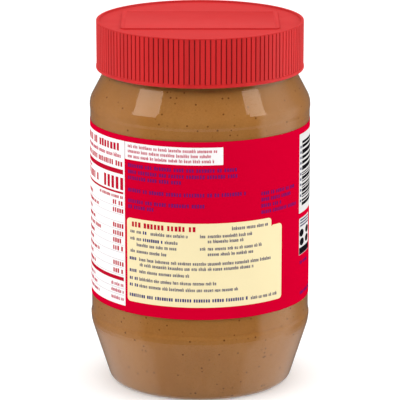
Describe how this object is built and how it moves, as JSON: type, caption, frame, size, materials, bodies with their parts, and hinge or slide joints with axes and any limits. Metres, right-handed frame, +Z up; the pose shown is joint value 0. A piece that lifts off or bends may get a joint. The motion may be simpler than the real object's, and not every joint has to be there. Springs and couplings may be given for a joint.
{
  "type": "peanut butter jar",
  "caption": "Clear plastic jar filled with peanut butter, wrapped in a printed paper label and closed by a ribbed red screw cap.",
  "frame": {"origin": "centre of the ring that the jar stands on, on the jar's axis", "axes": "+Z up along the jar's axis from the base to the cap, -Y towards the front of the label, +X to the right of the front"},
  "size_m": [0.099, 0.099, 0.165],
  "materials": {
    "clear_plastic": "clear blown plastic, glossy",
    "peanut_butter": "smooth dense paste pressed against the clear wall, with fine dark specks",
    "label_paper": "coated paper, printed red with cream and white panels",
    "cap_plastic": "satin red moulded plastic"
  },
  "bodies": {
    "root": {"jar": "clear_plastic", "peanut_butter": "peanut_butter", "label": "label_paper", "cap": "cap_plastic"}
  },
  "joints": []
}
